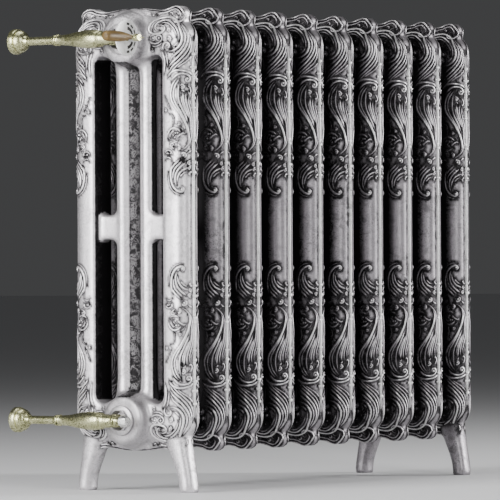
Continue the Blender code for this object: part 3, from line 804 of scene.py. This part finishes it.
def aged_brass(name, tarnish_amount):
    """Pale brass with an olive speckled patina and worn bright patches."""
    made, tree, shader = new_material(name, 0.28, 1.0)
    specks = grey_ramp(tree, noise(tree, 430.0, 5.0, 0.75, 0.4), (0.47, 0.0), (0.56, 1.0))
    clouds = grey_ramp(tree, noise(tree, 60.0, 4.0, 0.65), (0.36, 0.20), (0.58, 1.0))
    tarnish = maths(tree, "MULTIPLY", maths(tree, "MULTIPLY", specks, clouds), tarnish_amount)
    bright = mixed(tree, noise(tree, 45.0, 3.0), (0.50, 0.50, 0.24), (0.82, 0.81, 0.52))
    tree.links.new(mixed(tree, tarnish, bright, (0.055, 0.058, 0.016)), shader.inputs["Base Color"])
    tree.links.new(grey_ramp(tree, tarnish, (0.0, 0.24), (1.0, 0.6)), shader.inputs["Roughness"])
    bump(tree, shader, noise(tree, 600.0, 4.0, 0.7), 0.0004, 0.4)
    return made


def bright_steel(name, dull, bright):
    made, tree, shader = new_material(name, 0.25, 1.0)
    tone = mixed(tree, noise(tree, 80.0, 4.0), dull, bright)
    tree.links.new(tone, shader.inputs["Base Color"])
    rough = grey_ramp(tree, noise(tree, 300.0, 3.0), (0.3, 0.2), (0.7, 0.42))
    tree.links.new(rough, shader.inputs["Roughness"])
    bump(tree, shader, noise(tree, 900.0, 3.0), 0.0002, 0.3)
    return made


def oiled_wood(name):
    """Brown hardwood turned along X: fine streaks along the grip."""
    made, tree, shader = new_material(name, 0.50, 0.0)
    streak = noise(tree, 260.0, 6.0, 0.65, 0.8, stretch=(0.10, 1.0, 1.0))
    grain = ramp(tree, streak, (0.30, (0.055, 0.030, 0.007)), (0.50, (0.13, 0.076, 0.017)),
                 (0.72, (0.21, 0.135, 0.038)))
    tree.links.new(grain, shader.inputs["Base Color"])
    tree.links.new(grey_ramp(tree, streak, (0.3, 0.58), (0.7, 0.46)), shader.inputs["Roughness"])
    bump(tree, shader, streak, 0.0003, 0.4)
    return made


def satin_enamel(name):
    made, tree, shader = new_material(name, 0.28, 0.0, Coat_Weight=0.4, Coat_Roughness=0.12)
    tone = mixed(tree, noise(tree, 70.0, 4.0), (0.93, 0.925, 0.915), (0.97, 0.965, 0.955))
    grime = grey_ramp(tree, noise(tree, 300.0, 4.0, 0.7), (0.60, 0.0), (0.78, 0.6))
    tree.links.new(mixed(tree, grime, tone, (0.45, 0.44, 0.42)), shader.inputs["Base Color"])
    bump(tree, shader, noise(tree, 250.0, 3.0), 0.0002, 0.25)
    return made


def dark_fibre_and_painted_shade(name):
    made, tree, shader = new_material(name, 0.85, 0.0)
    tone = mixed(tree, noise(tree, 900.0, 4.0), (0.025, 0.024, 0.023), (0.075, 0.070, 0.066))
    tree.links.new(tone, shader.inputs["Base Color"])
    bump(tree, shader, noise(tree, 1200.0, 3.0), 0.0002, 0.5)
    return made


# The near end section gets a paler iron with less patina than the other nine: partly a more polished end,
# partly painted light, with the near end painted lit and the row painted in shade.
end_iron_polished_and_painted_lit = burnished_iron("burnished_iron_polished_and_painted_lit", 0.44, 1.05, (0.66, 0.63, 0.655), (0.92, 0.89, 0.915))
row_iron_patinated_and_painted_shade = burnished_iron("burnished_iron_patinated_and_painted_shade", 0.62, 1.08, (0.235, 0.22, 0.235), (0.41, 0.385, 0.41))
fitting_iron = burnished_iron("fitting_iron", 0.60, 1.0, (0.42, 0.405, 0.415), (0.70, 0.68, 0.69))
brass = aged_brass("aged_brass", 1.0)
bright_brass = aged_brass("worn_bright_brass", 0.35)
steel = bright_steel("bright_steel", (0.55, 0.54, 0.54), (0.78, 0.77, 0.76))
pale_steel = bright_steel("pale_nickel", (0.80, 0.80, 0.77), (0.95, 0.95, 0.92))
wood = oiled_wood("oiled_wood")
enamel = satin_enamel("satin_enamel")
fibre_and_painted_shade = dark_fibre_and_painted_shade("dark_fibre_and_painted_shade")

# ---- sections ----
# The row's castings get a wider reach of dark patina round the ornament (7 mm against 4): partly patina,
# partly painted shade between the sections.
near_casting = dressed_section("near_casting", True, (1,), 4.0)
middle_casting = dressed_section("middle_casting", False, (-1, 1), 7.0)
far_casting = dressed_section("far_casting", True, (-1,), 7.0)
castings = [near_casting] + [middle_casting] * (len(SECTIONS) - 2) + [far_casting]
for number, (node, source) in enumerate(zip(SECTIONS, castings)):
    mesh = source.copy()
    mesh.transform(place(NEAR.x + number * PITCH, NEAR.y, 0.0))
    show(f"{node}_casting", mesh, row_iron_patinated_and_painted_shade if number else end_iron_polished_and_painted_lit, "radiator", [node])
for source in (near_casting, middle_casting, far_casting):
    bpy.data.meshes.remove(source)

GASKET = [(-0.0007, 0.0365), (0.0007, 0.0365), (0.0007, 0.021), (-0.0007, 0.021)]
HUBS = (("bottom", HUB_LOW), ("top", HUB_HIGH))
for number in range(len(SECTIONS) - 1):
    for row, height in HUBS:
        ring = rounded(turned(GASKET, 40), 0.0003)
        ring.transform(place(NEAR.x + (number + 0.5) * PITCH, NEAR.y, height) @ ALONG_X)
        show(f"gasket_{row}_{number + 1:02d}", mesh_of(ring, "gasket"), fibre_and_painted_shade, "radiator")


# ---- valves, pipes and wall trim: profiles are (along, radius) in millimetres ----
def six_sided(bm, low, high, across):
    """Flatten a turned stretch to a hexagon whose corners are chamfered at both ends."""
    sixth = math.radians(60)
    for vert in bm.verts:
        radius = math.hypot(vert.co.x, vert.co.y)
        if low - 1e-6 <= vert.co.z <= high + 1e-6 and radius > across * 0.44:
            angle = math.atan2(vert.co.y, vert.co.x)
            off_flat = (angle + sixth / 2) % sixth - sixth / 2
            from_end = min(vert.co.z - low, high - vert.co.z)
            reach = min(across / 2 / math.cos(off_flat), across * 0.485 + from_end * 1.6)
            vert.co.x, vert.co.y = reach * math.cos(angle), reach * math.sin(angle)
    return bm


def nut_rings(low, high, across):
    """Profile points for a hexagon between two places along the axis, in millimetres."""
    steps = (0.0, 0.35, 0.7, 1.1)
    return [(low + s, across / 2) for s in steps] + [(high - s, across / 2) for s in reversed(steps)]


def fitting(name, profile_mm, matrix, finish, body, nuts=(), sides=60, extra=()):
    bm = turned([(a * MM, r * MM) for a, r in profile_mm], sides)
    for low, high, across in nuts:
        six_sided(bm, low * MM, high * MM, across * MM)
    parts = [(bm, matrix)] + [(turned([(a * MM, r * MM) for a, r in points], sides), turn)
                              for points, turn in extra]
    whole = joined(parts)
    bmesh.ops.recalc_face_normals(whole, faces=whole.faces)
    return show(f"{name}_turned", mesh_of(whole, name), finish, body, [name])


WALL_MM = (Vector(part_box("rosette_top")[1]).y - NEAR.y) / MM
ROSETTE_BACK_MM = 184
BORE_MM = 6.8
BUSHING_HEX = (-52.7, -47.3, 32.0)      # from, to, width across the flats
UNION_HEX = (-63.7, -53.5, 20.0)
LOCK_HEX = (-36.0, -22.2, 15.2)
FAR_HEX = (4.4, 12.0, 32.0)
BLEED_HEX = (12.4, 19.0, 9.0)
ROSETTE = [(155, 7.3), (157.5, 7.6), (159.4, 8.6), (160.6, 9.1), (161.0, 10.9), (161.8, 11.8),
           (163.2, 13.5), (165.2, 15.3), (167.6, 16.6), (170.2, 17.6), (171.6, 17.9),
           (172.4, 17.5), (172.8, 16.8), (173.8, 16.8), (174.3, 17.9), (175.0, 19.2),
           (176.3, 19.8), (178.5, 20.0), (183.4, 20.0),
           (ROSETTE_BACK_MM, 19.5), (ROSETTE_BACK_MM, BORE_MM), (155, BORE_MM)]
SLEEVE = [(14.2, 12.2), (14.8, 12.8), (19, 13.6), (24, 14.2), (30, 14.5), (36, 14.5), (42, 14.1),
          (50, 13.2), (58, 12.1), (66, 10.7), (73, 9.4), (79, 8.6), (86, 8.1), (93.0, 7.8),
          (93.9, 7.9), (94.4, 8.6), (95.2, 9.0), (96.4, 9.0), (97.1, 8.5), (97.5, 7.7),
          (98.3, 7.7), (98.7, 8.5), (99.5, 8.9), (101.0, 8.9), (101.8, 8.4), (102.2, 7.8),
          (102.8, 7.8), (103.3, 8.3), (104.2, 8.4), (105, 8.0), (105, BORE_MM), (14.2, BORE_MM)]
VALVE_BODY = [(-8.0, 9.0), (-7.5, 9.5), (-2, 10.2), (6, 10.7), (11.2, 10.9), (11.8, 11.3), (12.2, 12.2),
              (12.8, 12.5), (13.3, 12.5), (13.8, 12.1), (13.8, BORE_MM), (-8.0, BORE_MM)]
OUTLET = [(8.2, 6.3), (16.0, 6.3), (16.0, 3.6), (8.2, 3.6)]
BUSHING = nut_rings(*BUSHING_HEX) + [(-47.2, 22.6), (-46.7, 23.4), (-46.0, 23.75), (-43.7, 23.75),
                                     (-43.05, 23.3), (-43.05, 19.0), (-26, 19.0), (-26, 8.3)]
GLAND_FOOT = [(-8.3, 3.3), (-8.3, 8.6), (-8.8, 9.2), (-9.6, 9.5), (-12.2, 9.5), (-12.9, 9.1), (-13.2, 7.6),
              (-13.8, 7.2)]
GLANDS = {"bottom": [(-21.2, 7.2), (-21.7, 6.8), (-21.7, 3.3)],
          "top": [(-20, 7.2), (-34.8, 6.9), (-35.5, 6.4), (-35.5, 5.0), (-38.8, 5.0), (-38.8, 3.3)]}
PIPE = [(3.8, 6.5), (WALL_MM, 6.5), (WALL_MM, 4.5), (3.8, 4.5)]
UNION = nut_rings(*UNION_HEX) + [(-53.5, 5.3), (-63.7, 6.7)]
for row, height in HUBS:
    on_valve = place(VALVE_X, NEAR.y, height)
    on_hub = place(NEAR.x, NEAR.y, height) @ ALONG_X
    from_wall = place(VALVE_X, NEAR.y + (WALL_MM - ROSETTE_BACK_MM) * MM, height) @ ALONG_Y
    fitting(f"rosette_{row}", ROSETTE, from_wall, brass, "radiator")
    fitting(f"sleeve_{row}", SLEEVE, on_valve @ ALONG_Y, brass, "radiator")
    fitting(f"pipe_{row}", PIPE, on_valve @ ALONG_Y, brass, "radiator")
    fitting(f"valve_body_{row}", VALVE_BODY, on_valve @ ALONG_Y, brass, "radiator",
            extra=[(OUTLET, on_valve @ ALONG_X)])
    fitting(f"union_nut_{row}", UNION, on_hub, brass, "radiator", nuts=[UNION_HEX])
    fitting(f"bushing_{row}", BUSHING, on_hub, fitting_iron, "radiator", nuts=[BUSHING_HEX])
    fitting(f"gland_nut_{row}", GLAND_FOOT + GLANDS[row], on_valve @ ALONG_Y, brass, "radiator")

LOCK_HEAD = [(3.0, 0.0), (3.0, 4.1), (-4.0, 4.1), (-4.2, 3.0), (-22.1, 3.0)]
LOCK_HEAD += nut_rings(*LOCK_HEX)[::-1] + [(-36.0, 4.5), (-35.3, 4.0), (-35.3, 0.0)]
fitting("lockshield_spindle", LOCK_HEAD, place(VALVE_X, NEAR.y, HUB_LOW) @ ALONG_Y, pale_steel,
        "lockshield", nuts=[LOCK_HEX])

END_X = Vector(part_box(SECTIONS[-1])[1]).x
for (row, height), bore in zip(HUBS, (0.0, 3.2)):
    flange = [(-16, bore), (-16, 19.0), (0.25, 19.0), (0.3, 23.2), (0.9, 23.75), (3.4, 23.75), (4.2, 22.9),
              (4.3, 16.0)] + nut_rings(*FAR_HEX) + [(12.0, bore)]
    fitting(f"far_plug_{row}", flange, place(END_X, NEAR.y, height) @ ALONG_X, fitting_iron, "radiator",
            nuts=[FAR_HEX])
BLEED = [(-12, 0.0), (-12, 2.9), (12.2, 2.9), (12.3, 4.5)] + nut_rings(*BLEED_HEX) + [(19.0, 0.0)]
fitting("bleed_screw", BLEED, place(END_X, NEAR.y, HUB_HIGH) @ ALONG_X, brass, "bleed_valve",
        nuts=[BLEED_HEX], sides=36)

# ---- the dial and the lever ----
DIAL_AT = middle("dial")
DIAL_R = (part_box("dial")[1][2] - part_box("dial")[0][2]) / 2


def round_points(radius, count):
    return [(radius * math.cos(math.tau * k / count), radius * math.sin(math.tau * k / count))
            for k in range(count)]


def curved_slot(radius, half_width, mid_deg, half_deg, steps):
    turns = [math.radians(mid_deg - half_deg + 2 * half_deg * k / steps) for k in range(steps + 1)]
    outer = [((radius + half_width) * math.cos(t), (radius + half_width) * math.sin(t)) for t in turns]
    inner = [((radius - half_width) * math.cos(t), (radius - half_width) * math.sin(t)) for t in turns]
    return outer + inner[::-1]


def pierced_dial():
    """White disc: the half towards the row of sections is pierced, the other is plain."""
    slots = []
    for side in (-1, 1):
        slots.append(curved_slot(0.0152, 0.0026, side * 54, 32, 12))
        for at in (25, 54, 82):
            slots.append(curved_slot(0.0219, 0.0019, side * at, 11.0, 5))
    seat = round_points(0.0054, 24)
    for side in (-1, 1):
        divider = [(-0.0058, 0.0040), (-0.0048, 0.0040), (-0.0048, 0.0240), (-0.0058, 0.0240)]
        slots.append([(y, side * z) for y, z in divider])
    disc = plate(round_points(DIAL_R - 0.0006, 72), 0.0005, holes=[seat, *slots])
    disc.transform(place(x=0.0005))
    rim = turned([(-0.0011, DIAL_R - 0.0016), (-0.0011, DIAL_R - 0.0003), (-0.0007, DIAL_R),
                  (0.0007, DIAL_R), (0.0011, DIAL_R - 0.0003), (0.0011, DIAL_R - 0.0016)], 72)
    back_r = DIAL_R - 0.0018
    back = turned([(0.0013, 0.0062), (0.0013, back_r), (0.0019, back_r), (0.0019, 0.0062)], 72)
    return joined([(disc, Matrix.Rotation(math.radians(-90), 4, "Z")), (rim, ALONG_Y), (back, ALONG_Y)])


# painted shade: a dark disc behind the dial, so that its slots look dark
dial_shade_disc_r = DIAL_R - 0.0022
dial_shade_disc = turned([(0.0, 0.0056), (0.0, dial_shade_disc_r), (0.0008, dial_shade_disc_r), (0.0008, 0.0056)], 48)
dial_shade_disc.transform(Matrix.Translation(DIAL_AT) @ place(y=0.0002) @ ALONG_Y)
show("dial_painted_shade_disc", mesh_of(dial_shade_disc, "dial_painted_shade_disc"), fibre_and_painted_shade, "radiator")
dial_bm = pierced_dial()
dial_bm.transform(Matrix.Translation(DIAL_AT))
show("dial_pierced", mesh_of(dial_bm, "dial"), enamel, "radiator", ["dial"])

LEVER_AT = Vector((VALVE_X, middle("regulator_lever").y, HUB_HIGH))
on_lever = Matrix.Translation(LEVER_AT)
NECK = [(-36, 0.0), (-36, 2.4), (-15.6, 2.4), (-15.4, 3.3), (-14.6, 3.7), (-13.6, 3.2), (-12.4, 2.3),
        (-9, 2.0), (-6, 2.2), (-4.2, 2.8), (-4.2, 0.0)]
POINTER = [(4.2, 0.0), (4.2, 1.7), (6.0, 1.3), (17.5, 0.9), (19.0, 0.6), (19.5, 0.0)]
BOSS = [(-5.0, 3.4), (-5.0, 4.9), (-4.5, 5.6), (-3.0, 5.8), (3.0, 5.8), (4.5, 5.6), (5.0, 4.9), (5.0, 3.4)]
fitting("regulator_lever", BOSS, on_lever @ ALONG_Y, bright_brass, "regulator", sides=36,
        extra=[(NECK, on_lever @ ALONG_X), (POINTER, on_lever @ ALONG_X)])
tip = (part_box("lever_grip")[0][0] - VALVE_X) / MM
GRIP = [(tip, 0.0), (tip, 3.6), (tip + 0.6, 5.6), (tip + 1.8, 7.0), (tip + 4.0, 7.8), (tip + 9, 8.25),
        (tip + 20, 8.4), (-50, 8.4), (-44, 8.15), (-38, 7.45), (-33, 6.7), (-27, 5.6), (-21, 4.5),
        (-17.5, 3.7), (-16.4, 3.4), (-16.0, 3.0), (-16.0, 2.7), (-36.3, 2.7), (-36.3, 0.0)]
fitting("lever_grip", GRIP, on_lever @ ALONG_X, wood, "regulator", sides=48)

# ---- finishes for the CAD nodes that stay ----
record_slots = {part["node"]: part["material_slot"] for part in frame["record"]["subparts"]}
finishes = {"iron": fitting_iron, "steel": steel, "brass": brass, "enamel": enamel, "wood": wood}
for node, obj in frame["nodes"].items():
    obj.data.materials.clear()
    obj.data.materials.append(finishes[record_slots[node]])

# ---- floor, light and camera ----
floor_bm = bmesh.new()
bmesh.ops.create_circle(floor_bm, cap_ends=True, segments=64, radius=60.0)
floor = bpy.data.objects.new("floor", mesh_of(floor_bm, "floor"))
floor.location.z = -0.0002
bpy.context.scene.collection.objects.link(floor)
pale, _, pale_shader = new_material("pale_floor", 0.7, 0.0)
pale_shader.inputs["Base Color"].default_value = (0.78, 0.78, 0.79, 1.0)
floor.data.materials.append(pale)

world = bpy.data.worlds.new("studio")
world.use_nodes = True
world.node_tree.nodes["Background"].inputs["Color"].default_value = (0.80, 0.81, 0.83, 1.0)
world.node_tree.nodes["Background"].inputs["Strength"].default_value = 0.07
bpy.context.scene.world = world


def softbox(name, at, towards, size, power):
    light = bpy.data.lights.new(name, "AREA")
    light.shape = "RECTANGLE"
    light.size, light.size_y = size
    light.energy = power
    lamp = bpy.data.objects.new(name, light)
    lamp.location = at
    lamp.rotation_euler = (Vector(towards) - Vector(at)).to_track_quat("-Z", "Y").to_euler()
    bpy.context.scene.collection.objects.link(lamp)


near_end = Vector((-0.35, 0.0, 0.40))
whole = Vector((0.0, 0.0, 0.40))
softbox("key", (-3.1, 0.5, 1.1), near_end, (1.8, 2.0), 150.0)
softbox("side", (-1.9, -3.2, 1.6), whole, (0.6, 1.8), 60.0)
softbox("front", (2.4, -2.5, 1.0), whole, (0.6, 1.8), 150.0)
softbox("top", (0.0, 0.2, 3.0), whole, (2.2, 1.2), 26.0)

# The camera stands far off to the front left, nearly level with the middle of the castings.
AZIMUTH, ELEVATION, ROLL = math.radians(-54.556), math.radians(-0.212), math.radians(-0.259)
CAMERA_FROM_NEAR = Vector((-6.3976, -4.7714, 0.3484))
LENS_MM, SENSOR_MM = 365.76, 36.0
back = Vector((math.sin(AZIMUTH) * math.cos(ELEVATION), -math.cos(AZIMUTH) * math.cos(ELEVATION),
               math.sin(ELEVATION)))
level = Vector((math.cos(AZIMUTH), math.sin(AZIMUTH), 0.0))
upright = back.cross(level)
right = level * math.cos(ROLL) + upright * math.sin(ROLL)
up = upright * math.cos(ROLL) - level * math.sin(ROLL)
camera_data = bpy.data.cameras.new("camera")
camera_data.lens = LENS_MM
camera_data.sensor_width = SENSOR_MM
camera_data.clip_end = 200.0
camera = bpy.data.objects.new("camera", camera_data)
turn = Matrix((right, up, back)).transposed().to_4x4()
camera.matrix_world = Matrix.Translation(NEAR + CAMERA_FROM_NEAR) @ turn
bpy.context.scene.collection.objects.link(camera)
bpy.context.scene.camera = camera
